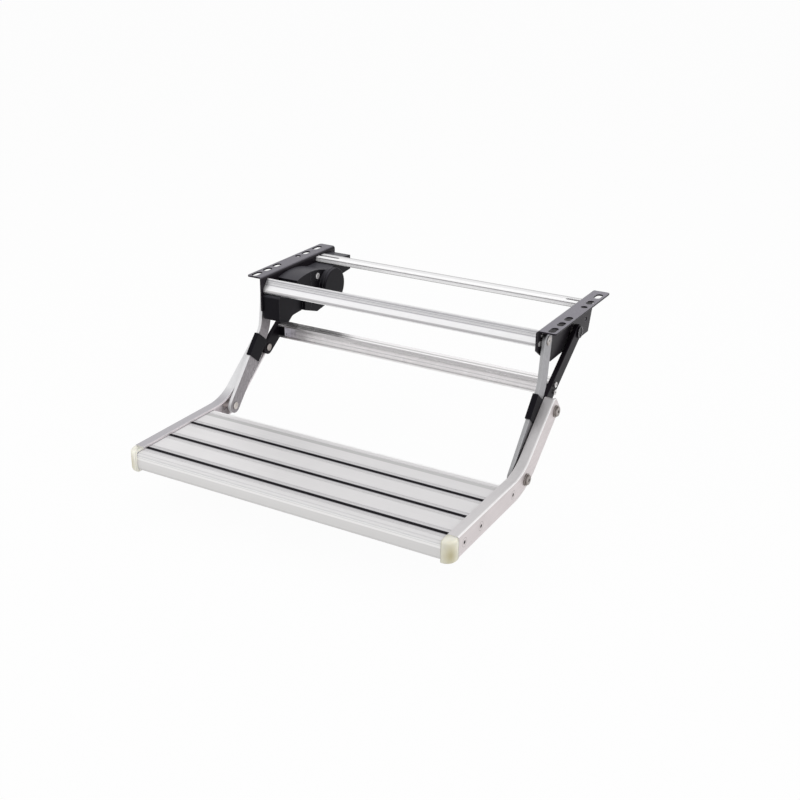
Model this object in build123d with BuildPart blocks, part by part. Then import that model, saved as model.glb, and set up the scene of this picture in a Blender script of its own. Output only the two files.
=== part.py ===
from build123d import *
import os
from math import atan2, cos, degrees, hypot, radians, sin, tan

os.makedirs("parts", exist_ok=True)

# Electric entry step for a caravan: a folding tread hung on two pairs of arms.
# X runs across the step, Y back under the vehicle and Z up, in millimetres.
# The origin lies on the mounting plane, midway between the two round mounting holes.
# A side sketch measures y back from the flanges' front edge and z up from the mounting plane.

# Driving dimensions of the whole step
STEP_WIDTH = 550.0                # over the outer faces of the two cheeks
PIVOT_A = (22.3, -20.6)           # front arm on the bracket
PIVOT_B = (142.6, -44.6)          # rear arm on the bracket
PIVOT_C = (-80.5, -199.6)         # front arm on the cheek
PIVOT_D = (18.8, -128.6)          # rear arm on the cheek
KINK = (12.5, -91.5)              # bend of the front arm
RUN_FIT = 0.05                    # radial running clearance of every pin
LAYER_GAP = 0.7                   # side clearance between neighbouring moving layers

# Brackets, folded from sheet steel
SHEET_T = 2.5
BEND_R = 2.0
BRACKET_LENGTH = 222.5
MOUNT_FROM_REAR = 87.0            # round mounting holes ahead of the flanges' rear edge
PLATE_LEAD = 2.5                  # plate's front edge ahead of the flange's
PLATE_DEPTH = 66.0
PLATE_FRONT_DEPTH = 31.0          # plate height at the front edge
PLATE_REAR_DEPTH = 29.0           # plate height at the rear edge
PLATE_KNEE = (19.0, -46.0)        # corner of the sloping front
PLATE_TOE = 54.0                  # start of the level lower edge
PLATE_HEEL = 12.4                 # lower edge stops this far before the rear
FLANGE_CORNER_R = 4.0
FLANGE_WIDTH = 30.2
HOLE_D = 10.5
HOLE_INSET = 9.8                  # hole line in from the flange's outer edge
FRONT_SLOTS = ((14.4, 23.0), (44.5, 19.0), (72.1, 19.0))
REAR_SLOTS = ((62.2, 19.0), (26.5, 23.0))        # ahead of the rear edge
SPARE_HOLE_AHEAD = 26.2           # spare hole ahead of the rear edge
SPARE_HOLE_DROP = 41.2
SPARE_HOLE_D = 8.0
DRIVE_PLATE_FRONT = 57.0          # left plate's front edge reaches lower, beside the drive
DRIVE_PLATE_TOE = 12.0

# Cheeks, pressed U-channels with a long bend
CHEEK_DEPTH = 16.8
CHEEK_HEIGHT = 32.0
CHEEK_WALL = 3.0
CHEEK_BEND_R = 100.0              # on the channel's mid-line
CHEEK_RISE = radians(38.6)
CHEEK_DROP = 4.9                  # level mid-line below pivot C
CHEEK_OVER_D = 4.2                # rising mid-line above pivot D
CHEEK_BEYOND_D = 14.5
CHEEK_CHAMFER = 6.0
CHEEK_EDGE_R = 1.2

# Arms
FRONT_ARM_T = 6.0
FRONT_ARM_W = 25.5
FRONT_ARM_BEND_R = 55.0           # on the arm's mid-line
REAR_ARM_T = 7.5
REAR_ARM_W = 24.0
ARM_EDGE_R = 0.8
SLEEVE_WALL = 1.5
SLEEVE_START = 16.6               # beyond the kink, towards pivot C
SLEEVE_LENGTH = 40.0
SLEEVE_W = 29.0
SLEEVE_EDGE_R = 0.6
WASHER_T = 2.5

# Tread panel, one hollow extrusion
PANEL_LENGTH_Y = 193.3
PANEL_GAP = 2.0                   # panel short of the cheek's bend
PANEL_NOSE_FLAT = 0.3             # half the flat left on the rear bullnose
PANEL_END_GAP = 0.5               # panel short of the cheek's web
PANEL_TOP_WALL = 2.5
PANEL_WALL = 2.0
NOSING_DROP = 2.0
NOSING_LIP = 14.0
NOSING_TOP_R = 4.0
NOSING_LOW_R = 3.0
NOSING_LINE_DROP = 4.5            # groove along the nosing, below the tread surface
CHEEK_SETBACK = 16.0              # cheek front behind the nosing front
GROOVE_W = 0.8
GROOVE_D = 0.5
GROOVE_OFFSETS = (8.0, 10.5)
REAR_GROOVE = 185.0               # behind the nosing front, in the plain rear band
REAR_GROOVE_SPAN = 12.0
STRIP_FIRST = 22.5
STRIP_PITCH = 53.0
STRIP_COUNT = 3
STRIP_W = 9.2
STRIP_NECK = 2.2
STRIP_BASE_W = 13.0
STRIP_BASE_T = 2.5
STRIP_PROUD = 0.3
STRIP_FIT = 0.1
STRIP_END_GAP = 0.2
STRIP_RIBS = 3
PORT_BOSS_R = 4.5
PORT_R = 2.3
PANEL_SCREW_INSET = 5.0           # last screw ahead of the panel's rear
PANEL_SCREWS = (34.2, 84.2, PANEL_LENGTH_Y - PANEL_SCREW_INSET)     # behind the nosing front
CSK_HEAD_R = 4.6
CSK_HEAD_H = 2.4
CSK_SHANK_R = 2.2
CSK_LENGTH = 16.0
CSK_CROSS = 4.6
CSK_CROSS_W = 0.9
CSK_CROSS_D = 1.4

# End caps of the nosing
CAP_INSET = 16.5                  # cap's inner end in from the cheek's outer face
CAP_PROUD = 1.0
CAP_FRONT = 3.0                   # cap in front of the nosing
CAP_ABOVE = 0.5                   # over the cheek's top
CAP_BELOW = 3.5                   # under the cheek's bottom
CAP_CORNER_R = 15.5
CAP_EDGE_R = 3.0
SPIGOT_LENGTH = 12.0
SPIGOT_FIT = 0.2

# Front bar, a tilted extrusion with two screw ports
FRONT_BAR_CENTRE = (11.25, -16.75)
FRONT_BAR_TILT = radians(45.0)
FRONT_BAR_W = 24.0
FRONT_BAR_T = 10.0
FRONT_BAR_LEAN = 2.5              # lower facet leans back by this much
FRONT_BAR_NOSE_R = 2.0
FRONT_BAR_PORT = 7.3
FRONT_BAR_CORE = (5.5, 5.5)
FRONT_BAR_GROOVES = 5
FRONT_BAR_FIRST = 1.05            # first groove up from the crest
FRONT_BAR_PITCH = 2.1

# Rear bar, a flat extrusion with a slot in each end
REAR_BAR_AHEAD = 61.5             # bar's front ahead of the flanges' rear edge
REAR_BAR_W = 26.0
REAR_BAR_TOP = -5.0
REAR_BAR_T = 8.0
REAR_BAR_EDGE_R = 0.8
REAR_BAR_PORT = 8.4
REAR_BAR_CORE = (6.5, 4.0)
REAR_BAR_SLOTS = (40.0, 25.0)      # left and right slot
REAR_BAR_SLOT_W = 7.0

# Link bar between the rear arms, a lipped channel open to the front
LINK_FRONT = 47.5
LINK_TOP = -96.0
LINK_W = 20.0
LINK_H = 23.0
LINK_WALL = 2.2
LINK_LIP = 3.4
LINK_PLUG = 14.0
LINK_SCREWS = ((53.2, -101.3), (52.4, -113.4))

# Screws that hold the bars and the drive cover
BAR_SCREW_R = 2.0
BAR_SCREW_LENGTH = 18.0
BAR_HEAD_R = 4.2
BAR_HEAD_H = 1.2
LINK_HEAD_R = 4.4
LINK_HEAD_H = 2.6
RECESS_AF = 3.0

# Pivots
PIN_R = 5.0
STUD_R = 4.0
STUD_HEAD_R = 7.5
STUD_HEAD_H = 1.2
STUD_CENTRE_R = 1.3               # turning centre left in the stud's head
ARM_COLLAR_R = 9.0
SCREW_GAP = 0.35                  # between the front washer and the nearest screw head
REAR_WASHER_R = 11.0
BOLT_R = 6.0
BOLT_AF = 16.0
BOLT_HEAD_R = 9.4
BOLT_HEAD_H = 2.8
BOLT_RIM = 1.6
BOLT_DISH = 0.9
NUT_H = 5.5
NUT_TAIL = 2.0
CHEEK_FLANGE_R = 9.4
CHEEK_FLANGE_H = 2.0
CHEEK_HEAD_R = 7.6
CHEEK_HEAD_H = 5.0
CHEEK_HEAD_EDGE_R = 1.0
CHEEK_SOCKET_AF = 5.0
CHEEK_SOCKET_D = 2.0
SPACER_R = 7.0
RIVET_R = 6.0                     # closed inner end of a pin
RIVET_H = 1.5
OPEN_GAP = 0.6                    # between the two halves of the pivot at C

# Drive on the left bracket: a front lobe, a deeper gearbox body and a drum round pivot B
COVER_WALL = 3.0
COVER_CORNER_R = 5.0
LOBE_DEPTH = 32.5
LOBE_FRONT = 1.0                  # behind the flanges' front edge
LOBE_REAR = 68.0
LOBE_TOP = -30.0
LOBE_CHIN = ((1.0, -71.0), (22.0, -79.0))
LOBE_WAIST = ((39.3, -70.5), (58.0, -69.4))
BODY_DEPTH = 38.5
BODY_FOOT = (43.0, -30.0)         # arch rises from the lobe's top here
BODY_ARCH = ((46.4, -11.3), (84.6, -6.4))         # start and crown of the arched top
BODY_ARCH_END = 132.2
BODY_BELLY = (103.7, -81.7)
BODY_HEEL = (132.0, -77.4)
BODY_SEAM = 87.0
TAIL_GAP = 1.5                    # tail clear of the rear bar
TAIL_LEAVE = radians(14.0)        # tail's lower edge leaves the drum's round here
TAIL_END = 9.7                    # ahead of the flanges' rear edge
TAIL_TOP = (-6.0, -8.3)           # behind the rear bar, front and rear
TAIL_LOW = -33.5
DRUM_R = 31.5
DRUM_DEPTH = 12.0
DRUM_EDGE_R = 2.0
DRUM_GROOVE = (6.5, 1.5, 1.2)     # from the body's face, width and depth
HUB_R = 13.0
HUB_DEPTH = 24.0
MOTOR_R = 23.0
MOTOR_GAP = 2.0                   # motor's inner end ahead of the hub
COVER_SCREW = (107.0, -19.0)
COVER_SCREW_R = 5.5
COVER_SCREW_H = 2.4
COVER_RECESS_R = 7.5
COVER_RECESS_D = 1.6

# Layers across the step, right side
CHEEK_OUT = STEP_WIDTH / 2
WEB_IN = CHEEK_OUT - CHEEK_WALL
CHEEK_IN = CHEEK_OUT - CHEEK_DEPTH
SLEEVE_OUT = CHEEK_IN - LAYER_GAP
FRONT_ARM_OUT = SLEEVE_OUT - SLEEVE_WALL
ARM_IN = FRONT_ARM_OUT - FRONT_ARM_T
REAR_ARM_OUT = ARM_IN + REAR_ARM_T
SLEEVE_IN = ARM_IN - SLEEVE_WALL
PLATE_OUT = ARM_IN - WASHER_T
PLATE_IN = PLATE_OUT - SHEET_T
FLANGE_OUT = PLATE_IN + FLANGE_WIDTH
HOLE_X = FLANGE_OUT - HOLE_INSET
PANEL_END = WEB_IN - PANEL_END_GAP
NOSING_END = CHEEK_OUT - CAP_INSET
STRIP_END = CHEEK_IN - STRIP_END_GAP

# Lines of the brackets in side view
MOUNT_Y = BRACKET_LENGTH - MOUNT_FROM_REAR
REAR_BAR_FRONT = BRACKET_LENGTH - REAR_BAR_AHEAD
SPARE_HOLE = (BRACKET_LENGTH - SPARE_HOLE_AHEAD, -SPARE_HOLE_DROP)
FLANGE_SLOTS = list(FRONT_SLOTS) + [(BRACKET_LENGTH - y, length) for y, length in REAR_SLOTS]

# Lines of the cheek and the tread in side view
RISE_COS = cos(CHEEK_RISE)
RISE_SIN = sin(CHEEK_RISE)
HALF_RISE = tan(CHEEK_RISE / 2)
CHEEK_MID = PIVOT_C[1] - CHEEK_DROP
CHEEK_KNEE = PIVOT_D[0] - (PIVOT_D[1] + CHEEK_OVER_D / RISE_COS - CHEEK_MID) / tan(CHEEK_RISE)
CHEEK_HALF = CHEEK_HEIGHT / 2
PANEL_T = CHEEK_HEIGHT - 2 * CHEEK_WALL
TREAD_TOP = CHEEK_MID + PANEL_T / 2
TREAD_BOTTOM = CHEEK_MID - PANEL_T / 2
PANEL_REAR = CHEEK_KNEE - CHEEK_BEND_R * HALF_RISE - PANEL_GAP
TREAD_FRONT = PANEL_REAR - PANEL_LENGTH_Y
CHEEK_FRONT = TREAD_FRONT + CHEEK_SETBACK
STRIP_LINES = [TREAD_FRONT + STRIP_FIRST + i * STRIP_PITCH for i in range(STRIP_COUNT)]
SCREW_POINTS = [(TREAD_FRONT + y, CHEEK_MID) for y in PANEL_SCREWS]
STRIP_SEAT = TREAD_TOP - STRIP_NECK - STRIP_BASE_T

FRONT_BAR_SCREWS = [
    (
        FRONT_BAR_CENTRE[0] + s * FRONT_BAR_PORT * cos(FRONT_BAR_TILT),
        FRONT_BAR_CENTRE[1] + s * FRONT_BAR_PORT * sin(FRONT_BAR_TILT),
    )
    for s in (-1, 1)
]
REAR_BAR_CENTRE = (REAR_BAR_FRONT + REAR_BAR_W / 2, REAR_BAR_TOP - REAR_BAR_T / 2)
REAR_BAR_SCREWS = [(REAR_BAR_CENTRE[0] + s * REAR_BAR_PORT, REAR_BAR_CENTRE[1]) for s in (-1, 1)]
BAR_SCREWS = FRONT_BAR_SCREWS + REAR_BAR_SCREWS
SCREW_REACH = min(hypot(y - PIVOT_A[0], z - PIVOT_A[1]) for y, z in FRONT_BAR_SCREWS)
FRONT_WASHER_R = SCREW_REACH - BAR_HEAD_R - SCREW_GAP


def side(x):
    return Plane(origin=(x, -MOUNT_Y, 0), x_dir=(0, 1, 0), z_dir=(1, 0, 0))


def level(z):
    return Plane(origin=(0, -MOUNT_Y, z))


def tilted(x, centre, angle):
    origin = (x, centre[0] - MOUNT_Y, centre[1])
    return Plane(origin=origin, x_dir=(0, cos(angle), sin(angle)), z_dir=(1, 0, 0))


def slope(start, end):
    return atan2(end[1] - start[1], end[0] - start[0])


def disc(plane, points, radius):
    with BuildSketch(plane) as sketch:
        with Locations(*points):
            Circle(radius)
    return sketch.sketch


def hexagon(plane, points, across_flats):
    with BuildSketch(plane) as sketch:
        with Locations(*points):
            RegularPolygon(across_flats / 2, 6, major_radius=False)
    return sketch.sketch


def link(plane, start, end, width):
    middle = ((start[0] + end[0]) / 2, (start[1] + end[1]) / 2, 0)
    length = hypot(end[0] - start[0], end[1] - start[1])
    with BuildSketch(plane) as sketch:
        with Locations(Location(middle, (0, 0, degrees(slope(start, end))))):
            SlotCenterToCenter(length, width)
    return sketch.sketch


def bent_link(plane, start, bend, end, width, radius):
    # A flat bar with round ends that turns clockwise at its bend.
    first = slope(start, bend)
    last = slope(bend, end)
    middle = (first + last) / 2
    half = width / 2
    with BuildSketch(plane) as sketch:
        with BuildLine():
            edges = []
            for reach in (half, -half):
                corner = reach / cos(middle - first)
                edge = FilletPolyline(
                    (start[0] - reach * sin(first), start[1] + reach * cos(first)),
                    (bend[0] - corner * sin(middle), bend[1] + corner * cos(middle)),
                    (end[0] - reach * sin(last), end[1] + reach * cos(last)),
                    radius=radius + reach,
                )
                edges.append(edge)
            tip = (end[0] + half * cos(last), end[1] + half * sin(last))
            root = (start[0] - half * cos(first), start[1] - half * sin(first))
            ThreePointArc(edges[0] @ 1, tip, edges[1] @ 1)
            ThreePointArc(edges[1] @ 0, root, edges[0] @ 0)
        make_face()
    return sketch.sketch


def rail(height, overrun):
    # One long edge of the cheek, at a height over the channel's mid-line.
    reach = CHEEK_BEYOND_D + overrun
    rise = CHEEK_OVER_D + height
    start = (CHEEK_FRONT - overrun, CHEEK_MID + height)
    knee = (CHEEK_KNEE - height * HALF_RISE, CHEEK_MID + height)
    end = (
        PIVOT_D[0] + reach * RISE_COS - rise * RISE_SIN,
        PIVOT_D[1] + reach * RISE_SIN + rise * RISE_COS,
    )
    return start, knee, end


def cheek_band(plane, half, overrun):
    with BuildSketch(plane) as sketch:
        with BuildLine():
            upper = FilletPolyline(*rail(half, overrun), radius=CHEEK_BEND_R - half)
            lower = FilletPolyline(*rail(-half, overrun), radius=CHEEK_BEND_R + half)
            Line(upper @ 1, lower @ 1)
            Line(lower @ 0, upper @ 0)
        make_face()
    return sketch.sketch


def bar_section(plane, centre, width, height):
    with BuildSketch(plane) as sketch:
        with Locations(centre):
            Rectangle(width, height)
    return sketch.sketch


# Right bracket: a folded flange and plate
with BuildPart() as right_bracket:
    plate_start = -MOUNT_Y - PLATE_LEAD
    with BuildSketch(Plane(origin=(0, plate_start, 0), x_dir=(1, 0, 0), z_dir=(0, -1, 0))) as fold:
        with BuildLine():
            Polyline(
                (PLATE_IN, 0),
                (FLANGE_OUT, 0),
                (FLANGE_OUT, -SHEET_T),
                (PLATE_OUT, -SHEET_T),
                (PLATE_OUT, -PLATE_DEPTH),
                (PLATE_IN, -PLATE_DEPTH),
                close=True,
            )
        make_face()
        fillet(fold.vertices().sort_by_distance((PLATE_IN, 0))[0], BEND_R + SHEET_T)
        fillet(fold.vertices().sort_by_distance((PLATE_OUT, -SHEET_T))[0], BEND_R)
    extrude(amount=-BRACKET_LENGTH - PLATE_LEAD)
    with BuildSketch(side(PLATE_IN)):
        with BuildLine():
            Polyline(
                (-PLATE_LEAD, 0),
                (-PLATE_LEAD, -PLATE_FRONT_DEPTH),
                PLATE_KNEE,
                (PLATE_TOE, -PLATE_DEPTH),
                (BRACKET_LENGTH - PLATE_HEEL, -PLATE_DEPTH),
                (BRACKET_LENGTH, -PLATE_REAR_DEPTH),
                (BRACKET_LENGTH, 0),
                close=True,
            )
        make_face()
    extrude(amount=FLANGE_WIDTH, mode=Mode.INTERSECT)
    with BuildSketch(level(0)):
        with Locations((PLATE_OUT, -PLATE_LEAD)):
            Rectangle(FLANGE_WIDTH, PLATE_LEAD, align=(Align.MIN, Align.MIN))
    extrude(amount=-SHEET_T - BEND_R, mode=Mode.SUBTRACT)
    fillet(right_bracket.edges().filter_by(Axis.Z).group_by(Axis.X)[-1], FLANGE_CORNER_R)
    with BuildSketch(level(0)):
        with Locations((HOLE_X, MOUNT_Y)):
            Circle(HOLE_D / 2)
        for slot_y, slot_length in FLANGE_SLOTS:
            with Locations((HOLE_X, slot_y)):
                SlotOverall(slot_length, HOLE_D, rotation=90)
    extrude(amount=-SHEET_T, mode=Mode.SUBTRACT)
    extrude(disc(side(PLATE_IN), [SPARE_HOLE], SPARE_HOLE_D / 2), amount=SHEET_T, mode=Mode.SUBTRACT)
    extrude(disc(side(PLATE_IN), [PIVOT_A], STUD_R + RUN_FIT), amount=SHEET_T, mode=Mode.SUBTRACT)
    extrude(disc(side(PLATE_IN), [PIVOT_B], BOLT_R + RUN_FIT), amount=SHEET_T, mode=Mode.SUBTRACT)
    extrude(disc(side(PLATE_IN), BAR_SCREWS, BAR_SCREW_R + RUN_FIT), amount=SHEET_T, mode=Mode.SUBTRACT)

# Left bracket: the mirror image, with a deeper front corner that carries the drive
with BuildPart() as left_bracket:
    mirror(right_bracket.part, about=Plane.YZ)
    with BuildSketch(side(-PLATE_OUT)):
        with BuildLine():
            Polyline(
                (-PLATE_LEAD, -PLATE_FRONT_DEPTH),
                (-PLATE_LEAD, -DRIVE_PLATE_FRONT),
                (DRIVE_PLATE_TOE, -PLATE_DEPTH),
                (PLATE_TOE, -PLATE_DEPTH),
                PLATE_KNEE,
                close=True,
            )
        make_face()
    extrude(amount=SHEET_T)

# Front bar: grooved upper facet, leaning lower facet, two screw ports and a core
with BuildPart() as front_bar:
    half_w = FRONT_BAR_W / 2
    half_t = FRONT_BAR_T / 2
    with BuildSketch(tilted(-PLATE_IN, FRONT_BAR_CENTRE, FRONT_BAR_TILT)) as section:
        with BuildLine():
            Polyline(
                (half_w, -half_t),
                (half_w, half_t),
                (0, half_t),
                (-half_w, half_t - FRONT_BAR_LEAN),
                (-half_w, -half_t),
                close=True,
            )
        make_face()
        fillet(section.vertices().group_by(Axis.X)[0], FRONT_BAR_NOSE_R)
        with Locations((-FRONT_BAR_PORT, 0), (FRONT_BAR_PORT, 0)):
            Circle(BAR_SCREW_R + RUN_FIT, mode=Mode.SUBTRACT)
        Rectangle(*FRONT_BAR_CORE, mode=Mode.SUBTRACT)
        for i in range(FRONT_BAR_GROOVES):
            with Locations((FRONT_BAR_FIRST + i * FRONT_BAR_PITCH, half_t)):
                Rectangle(GROOVE_W, 2 * GROOVE_D, mode=Mode.SUBTRACT)
    extrude(amount=2 * PLATE_IN)

# Rear bar: flat section, ports for its screws, a slot in each end
with BuildPart() as rear_bar:
    with BuildSketch(side(-PLATE_IN)) as section:
        with Locations(REAR_BAR_CENTRE):
            RectangleRounded(REAR_BAR_W, REAR_BAR_T, REAR_BAR_EDGE_R)
            Rectangle(*REAR_BAR_CORE, mode=Mode.SUBTRACT)
        with Locations(*REAR_BAR_SCREWS):
            Circle(BAR_SCREW_R + RUN_FIT, mode=Mode.SUBTRACT)
    extrude(amount=2 * PLATE_IN)
    with BuildSketch(level(REAR_BAR_TOP)):
        for end, reach in zip((-PLATE_IN, PLATE_IN), REAR_BAR_SLOTS):
            with Locations((end, REAR_BAR_CENTRE[0])):
                SlotOverall(2 * reach, REAR_BAR_SLOT_W)
    extrude(amount=-REAR_BAR_T, mode=Mode.SUBTRACT)

# Front arm: a flat bar bent in its own plane
with BuildPart() as right_front_arm:
    bar = bent_link(side(ARM_IN), PIVOT_A, KINK, PIVOT_C, FRONT_ARM_W, FRONT_ARM_BEND_R)
    extrude(bar, amount=FRONT_ARM_T)
    chamfer(right_front_arm.faces().sort_by(Axis.X)[-1].edges(), ARM_EDGE_R)
    extrude(disc(side(ARM_IN), [PIVOT_A], STUD_R + RUN_FIT), amount=FRONT_ARM_T, mode=Mode.SUBTRACT)
    extrude(disc(side(ARM_IN), [PIVOT_C], PIN_R + RUN_FIT), amount=FRONT_ARM_T, mode=Mode.SUBTRACT)

# Sleeve moulded round the front arm
with BuildPart() as right_arm_sleeve:
    arm_angle = slope(KINK, PIVOT_C)
    middle = (SLEEVE_START + SLEEVE_LENGTH / 2, 0)
    shell = bar_section(tilted(SLEEVE_IN, KINK, arm_angle), middle, SLEEVE_LENGTH, SLEEVE_W)
    extrude(shell, amount=SLEEVE_OUT - SLEEVE_IN)
    fillet(right_arm_sleeve.edges().group_by(Axis.X)[-1], SLEEVE_EDGE_R)
    bore = bar_section(tilted(ARM_IN, KINK, arm_angle), middle, SLEEVE_LENGTH, FRONT_ARM_W)
    extrude(bore, amount=FRONT_ARM_T, mode=Mode.SUBTRACT)

# Rear arm: a straight flat bar
with BuildPart() as right_rear_arm:
    extrude(link(side(ARM_IN), PIVOT_B, PIVOT_D, REAR_ARM_W), amount=REAR_ARM_T)
    chamfer(right_rear_arm.faces().sort_by(Axis.X)[-1].edges(), ARM_EDGE_R)
    extrude(disc(side(ARM_IN), [PIVOT_B], BOLT_R + RUN_FIT), amount=REAR_ARM_T, mode=Mode.SUBTRACT)
    extrude(disc(side(ARM_IN), [PIVOT_D], PIN_R + RUN_FIT), amount=REAR_ARM_T, mode=Mode.SUBTRACT)
    screw_holes = disc(side(ARM_IN), LINK_SCREWS, BAR_SCREW_R + RUN_FIT)
    extrude(screw_holes, amount=REAR_ARM_T, mode=Mode.SUBTRACT)

# Link bar: lipped channel from arm to arm
LINK_CENTRE = (LINK_FRONT + LINK_W / 2, LINK_TOP - LINK_H / 2)
LINK_ROOM_W = LINK_W - 2 * LINK_WALL
LINK_ROOM_H = LINK_H - 2 * LINK_WALL
with BuildPart() as link_bar:
    with BuildSketch(side(-ARM_IN)):
        with Locations(LINK_CENTRE):
            Rectangle(LINK_W, LINK_H)
            Rectangle(LINK_ROOM_W, LINK_ROOM_H, mode=Mode.SUBTRACT)
        with Locations((LINK_FRONT, LINK_CENTRE[1])):
            mouth = LINK_ROOM_H - 2 * (LINK_LIP - LINK_WALL)
            Rectangle(2 * LINK_WALL, mouth, mode=Mode.SUBTRACT)
    extrude(amount=2 * ARM_IN)

with BuildPart() as right_link_plug:
    block = bar_section(side(ARM_IN - LINK_PLUG), LINK_CENTRE, LINK_ROOM_W, LINK_ROOM_H)
    extrude(block, amount=LINK_PLUG)
    plug_holes = disc(side(ARM_IN), LINK_SCREWS, BAR_SCREW_R + RUN_FIT)
    extrude(plug_holes, amount=-LINK_PLUG, mode=Mode.SUBTRACT)

# Cheek: U-channel with a long bend, open inwards
with BuildPart() as right_cheek:
    extrude(cheek_band(side(CHEEK_IN), CHEEK_HALF, 0), amount=CHEEK_DEPTH)
    tip = rail(CHEEK_HALF, 0)[-1]
    tip_edges = right_cheek.edges().filter_by(Axis.X)
    chamfer(tip_edges.sort_by_distance((CHEEK_OUT, tip[0] - MOUNT_Y, tip[1]))[0], CHEEK_CHAMFER)
    fillet(right_cheek.edges().group_by(Axis.X)[-1], CHEEK_EDGE_R)
    room = cheek_band(side(CHEEK_IN), CHEEK_HALF - CHEEK_WALL, CHEEK_HALF)
    extrude(room, amount=CHEEK_DEPTH - CHEEK_WALL, mode=Mode.SUBTRACT)
    pin_holes = disc(side(WEB_IN), [PIVOT_C, PIVOT_D], PIN_R + RUN_FIT)
    extrude(pin_holes, amount=CHEEK_WALL, mode=Mode.SUBTRACT)
    with Locations(side(CHEEK_OUT)):
        with Locations(*SCREW_POINTS):
            CounterSinkHole(CSK_SHANK_R + RUN_FIT, CSK_HEAD_R + RUN_FIT, CHEEK_WALL)

# Tread panel: hollow section with T-slots for the grip strips and a bullnose at the rear
with BuildPart() as tread_panel:
    with BuildSketch(side(-PANEL_END)) as section:
        nosing_bottom = TREAD_BOTTOM - NOSING_DROP
        with BuildLine():
            Polyline(
                (TREAD_FRONT, TREAD_TOP),
                (PANEL_REAR, TREAD_TOP),
                (PANEL_REAR, TREAD_BOTTOM),
                (TREAD_FRONT + NOSING_LIP, TREAD_BOTTOM),
                (TREAD_FRONT + NOSING_LIP, nosing_bottom),
                (TREAD_FRONT, nosing_bottom),
                close=True,
            )
        make_face()
        rear_corners = section.vertices().group_by(Axis.X)[-1]
        fillet(rear_corners, PANEL_T / 2 - PANEL_NOSE_FLAT)
        fillet(section.vertices().sort_by_distance((TREAD_FRONT, TREAD_TOP))[0], NOSING_TOP_R)
        fillet(section.vertices().sort_by_distance((TREAD_FRONT, nosing_bottom))[0], NOSING_LOW_R)
        room_front = TREAD_FRONT + PANEL_TOP_WALL
        room_rear = PANEL_REAR - PANEL_T / 2 - PANEL_WALL
        room_top = TREAD_TOP - PANEL_TOP_WALL
        room_low = TREAD_BOTTOM + PANEL_WALL
        with Locations(((room_front + room_rear) / 2, (room_top + room_low) / 2)):
            Rectangle(room_rear - room_front, room_top - room_low, mode=Mode.SUBTRACT)
        for line in STRIP_LINES:
            with Locations((line, TREAD_TOP)):
                housing = STRIP_NECK + STRIP_BASE_T + PANEL_WALL
                Rectangle(STRIP_BASE_W + 2 * PANEL_WALL, housing, align=(Align.CENTER, Align.MAX))
        with Locations(*[(line - STRIP_BASE_W / 2, CHEEK_MID) for line in STRIP_LINES]):
            Rectangle(PANEL_WALL, PANEL_T)
        with Locations(*SCREW_POINTS[:-1]):
            Rectangle(PANEL_WALL, PANEL_T)
            Circle(PORT_BOSS_R)
        with Locations(*SCREW_POINTS):
            Circle(PORT_R, mode=Mode.SUBTRACT)
        for line in STRIP_LINES:
            with Locations((line, TREAD_TOP)):
                Rectangle(STRIP_W, 2 * (STRIP_NECK + STRIP_BASE_T), mode=Mode.SUBTRACT)
            with Locations((line, STRIP_SEAT)):
                base_align = (Align.CENTER, Align.MIN)
                Rectangle(STRIP_BASE_W, STRIP_BASE_T, align=base_align, mode=Mode.SUBTRACT)
            for reach in GROOVE_OFFSETS:
                with Locations((line - reach, TREAD_TOP), (line + reach, TREAD_TOP)):
                    Rectangle(GROOVE_W, 2 * GROOVE_D, mode=Mode.SUBTRACT)
        rear_groove = TREAD_FRONT + REAR_GROOVE - REAR_GROOVE_SPAN
        with Locations((rear_groove, TREAD_TOP)):
            Rectangle(2 * GROOVE_W, 2 * GROOVE_D, mode=Mode.SUBTRACT)
        with Locations((TREAD_FRONT, TREAD_TOP - NOSING_LINE_DROP)):
            Rectangle(2 * GROOVE_D, GROOVE_W, mode=Mode.SUBTRACT)
    extrude(amount=2 * PANEL_END)
    with BuildSketch(level(nosing_bottom)):
        notch_x = PANEL_END - NOSING_END
        for sign in (-1, 1):
            with Locations((sign * (NOSING_END + notch_x / 2), TREAD_FRONT + CHEEK_SETBACK / 2)):
                Rectangle(notch_x, CHEEK_SETBACK)
    extrude(amount=PANEL_T + NOSING_DROP, mode=Mode.SUBTRACT)

# Grip strips: one T-section in each slot
strips = []
for line in STRIP_LINES:
    with BuildPart() as grip_strip:
        with BuildSketch(side(-STRIP_END)):
            with Locations((line, STRIP_SEAT)):
                base_align = (Align.CENTER, Align.MIN)
                height = STRIP_BASE_T + STRIP_NECK + STRIP_PROUD
                Rectangle(STRIP_BASE_W - 2 * STRIP_FIT, STRIP_BASE_T - STRIP_FIT, align=base_align)
                Rectangle(STRIP_W - 2 * STRIP_FIT, height, align=base_align)
            rib_pitch = STRIP_W / (STRIP_RIBS + 1)
            for i in range(STRIP_RIBS):
                place = line + (i - (STRIP_RIBS - 1) / 2) * rib_pitch
                with Locations((place, TREAD_TOP + STRIP_PROUD)):
                    Rectangle(GROOVE_W, 2 * GROOVE_D, mode=Mode.SUBTRACT)
        extrude(amount=2 * STRIP_END)
    strips.append(grip_strip)

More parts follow.
